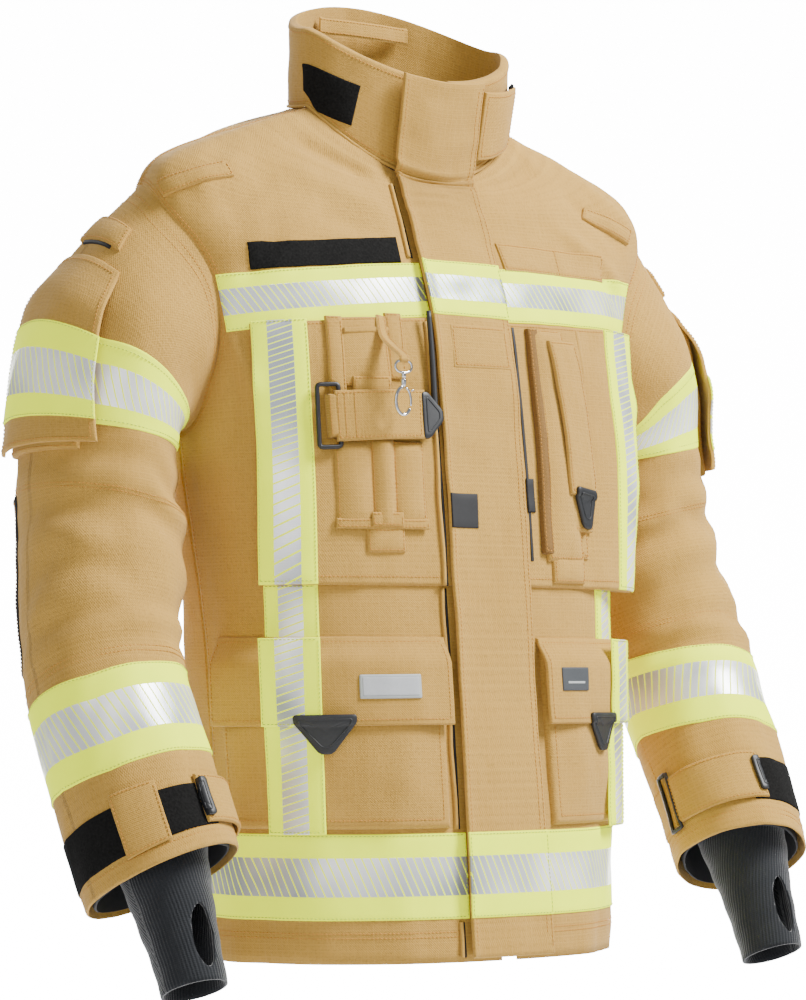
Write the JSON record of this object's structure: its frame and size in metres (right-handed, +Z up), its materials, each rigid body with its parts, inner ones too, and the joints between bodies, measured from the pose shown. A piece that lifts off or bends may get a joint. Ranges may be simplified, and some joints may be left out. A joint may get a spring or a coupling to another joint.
{
  "type": "turnout coat",
  "caption": "Firefighter's turnout coat with stand-up collar, reflective tapes, storm flap over a zip, flapped bellows pockets, snap hook and knit wristlets.",
  "frame": {"origin": "the hook point inside the hanger loop at the back of the collar", "axes": "+Z up along the hanging coat, -Y the coat's front, +X the wearer's left"},
  "size_m": [0.784, 0.3095, 0.8826],
  "materials": {
    "shell_fabric": "ripstop twill",
    "reflective_tape": "fluorescent tape with a silver centre strip",
    "hook_and_loop": "fuzzy pile",
    "black_plastic": "satin",
    "rubber": "matt",
    "chrome": "polished",
    "knit": "fine rib knit",
    "lining": "quilted",
    "barrier": "smooth film"
  },
  "bodies": {
    "coat": {"back_chest_band": "reflective_tape", "back_hem_band": "reflective_tape", "back_panel": "shell_fabric", "chest_strap": "shell_fabric", "chest_strap_buckle": "black_plastic", "chest_strap_pull": "rubber", "collar": "shell_fabric", "collar_patch": "hook_and_loop", "hanger_loop": "shell_fabric", "instrument_loop": "shell_fabric", "left_chest_band": "reflective_tape", "left_chest_pocket": "shell_fabric", "left_front_panel": "shell_fabric", "left_hem_band": "reflective_tape", "left_lower_pocket": "shell_fabric", "left_lower_vertical_tape": "reflective_tape", "left_shoulder_loop": "shell_fabric", "left_upper_vertical_tape": "reflective_tape", "moisture_barrier": "barrier", "name_strip": "hook_and_loop", "radio_pocket": "shell_fabric", "right_chest_band": "reflective_tape", "right_chest_pocket": "shell_fabric", "right_front_panel": "shell_fabric", "right_hem_band": "reflective_tape", "right_lower_pocket": "shell_fabric", "right_lower_vertical_tape": "reflective_tape", "right_shoulder_loop": "shell_fabric", "right_upper_vertical_tape": "reflective_tape", "thermal_liner": "lining", "tool_pocket": "shell_fabric", "zip_tape_left": "black_plastic", "zip_tape_right": "black_plastic"},
    "storm_flap": {"storm_flap": "shell_fabric", "flap_chest_band": "reflective_tape", "flap_hem_band": "reflective_tape"},
    "zip_slider": {"zip_slider": "black_plastic"},
    "collar_tab": {"collar_tab": "shell_fabric"},
    "hook_strap": {"hook_strap": "shell_fabric", "snap_hook_ring": "chrome"},
    "snap_hook": {"snap_hook_body": "chrome"},
    "snap_hook_gate": {"snap_hook_gate": "chrome"},
    "left_chest_strap": {"left_chest_strap": "shell_fabric"},
    "left_lower_flap": {"left_lower_flap": "shell_fabric"},
    "left_sleeve": {"left_sleeve": "shell_fabric", "left_upper_sleeve_tape": "reflective_tape", "left_forearm_tape": "reflective_tape", "left_sleeve_pocket": "shell_fabric", "left_wristlet": "knit"},
    "left_sleeve_flap": {"left_sleeve_flap": "shell_fabric"},
    "left_cuff_strap": {"left_cuff_strap": "shell_fabric"},
    "right_lower_flap": {"right_lower_flap": "shell_fabric"},
    "right_sleeve": {"right_sleeve": "shell_fabric", "right_upper_sleeve_tape": "reflective_tape", "right_forearm_tape": "reflective_tape", "right_sleeve_pocket": "shell_fabric", "right_wristlet": "knit"},
    "right_sleeve_flap": {"right_sleeve_flap": "shell_fabric"},
    "right_cuff_strap": {"right_cuff_strap": "shell_fabric"}
  },
  "joints": [
    {"name": "storm_flap_hinge", "type": "hinge", "parent": "coat", "child": "storm_flap", "pos_m": [0.0465, -0.237, -0.838], "axis": [0, 0.1211, 0.9926], "range_deg": [0, 100]},
    {"name": "zip_slide", "type": "slide", "parent": "coat", "child": "zip_slider", "axis": [0, -0.0995, -0.995], "range_m": [0, 0.45]},
    {"name": "collar_tab_hinge", "type": "hinge", "parent": "coat", "child": "collar_tab", "pos_m": [0.04583, -0.12431, -0.09239], "axis": [0, -0.2873, -0.9578], "range_deg": [0, 40]},
    {"name": "left_lower_flap_hinge", "type": "hinge", "parent": "coat", "child": "left_lower_flap", "pos_m": [0.16768, -0.1725, -0.56084], "axis": [-0.8201, -0.5722, 0], "range_deg": [0, 70]},
    {"name": "right_lower_flap_hinge", "type": "hinge", "parent": "coat", "child": "right_lower_flap", "pos_m": [-0.16768, -0.1725, -0.56084], "axis": [-0.8201, 0.5722, 0], "range_deg": [0, 70]},
    {"name": "left_chest_strap_hinge", "type": "hinge", "parent": "coat", "child": "left_chest_strap", "pos_m": [0.10557, -0.16899, -0.29631], "axis": [-0.9906, -0.1365, 0], "range_deg": [0, 80]},
    {"name": "hook_strap_hinge", "type": "hinge", "parent": "coat", "child": "hook_strap", "pos_m": [-0.10115, -0.17432, -0.28506], "axis": [-0.9931, 0.1172, 0], "range_deg": [0, 70]},
    {"name": "snap_hook_swivel", "type": "hinge", "parent": "hook_strap", "child": "snap_hook", "pos_m": [-0.099, -0.201, -0.338], "axis": [0, 0, 1], "continuous": true},
    {"name": "snap_hook_gate_hinge", "type": "hinge", "parent": "snap_hook", "child": "snap_hook_gate", "pos_m": [-0.09453, -0.201, -0.34888], "axis": [0, 1, 0], "range_deg": [0, 35], "stiffness_Nm_per_rad": 0.002, "springref_deg": -20.05},
    {"name": "left_sleeve_raise", "type": "hinge", "parent": "coat", "child": "left_sleeve", "pos_m": [0.276, -0.036, -0.1695], "axis": [0, -1, 0], "range_deg": [0, 30]},
    {"name": "left_sleeve_flap_hinge", "type": "hinge", "parent": "left_sleeve", "child": "left_sleeve_flap", "pos_m": [0.31701, -0.03242, -0.19946], "axis": [0, -1, 0], "range_deg": [0, 70]},
    {"name": "left_cuff_strap_hinge", "type": "hinge", "parent": "left_sleeve", "child": "left_cuff_strap", "pos_m": [0.25592, -0.15062, -0.70134], "axis": [0.0056, -0.4991, -0.8665], "range_deg": [0, 70]},
    {"name": "right_sleeve_raise", "type": "hinge", "parent": "coat", "child": "right_sleeve", "pos_m": [-0.276, -0.036, -0.1695], "axis": [0, 1, 0], "range_deg": [0, 30]},
    {"name": "right_sleeve_flap_hinge", "type": "hinge", "parent": "right_sleeve", "child": "right_sleeve_flap", "pos_m": [-0.31701, -0.03242, -0.19946], "axis": [0, 1, 0], "range_deg": [0, 70]},
    {"name": "right_cuff_strap_hinge", "type": "hinge", "parent": "right_sleeve", "child": "right_cuff_strap", "pos_m": [-0.25592, -0.15062, -0.70134], "axis": [0.0056, 0.4991, 0.8665], "range_deg": [0, 70]}
  ]
}
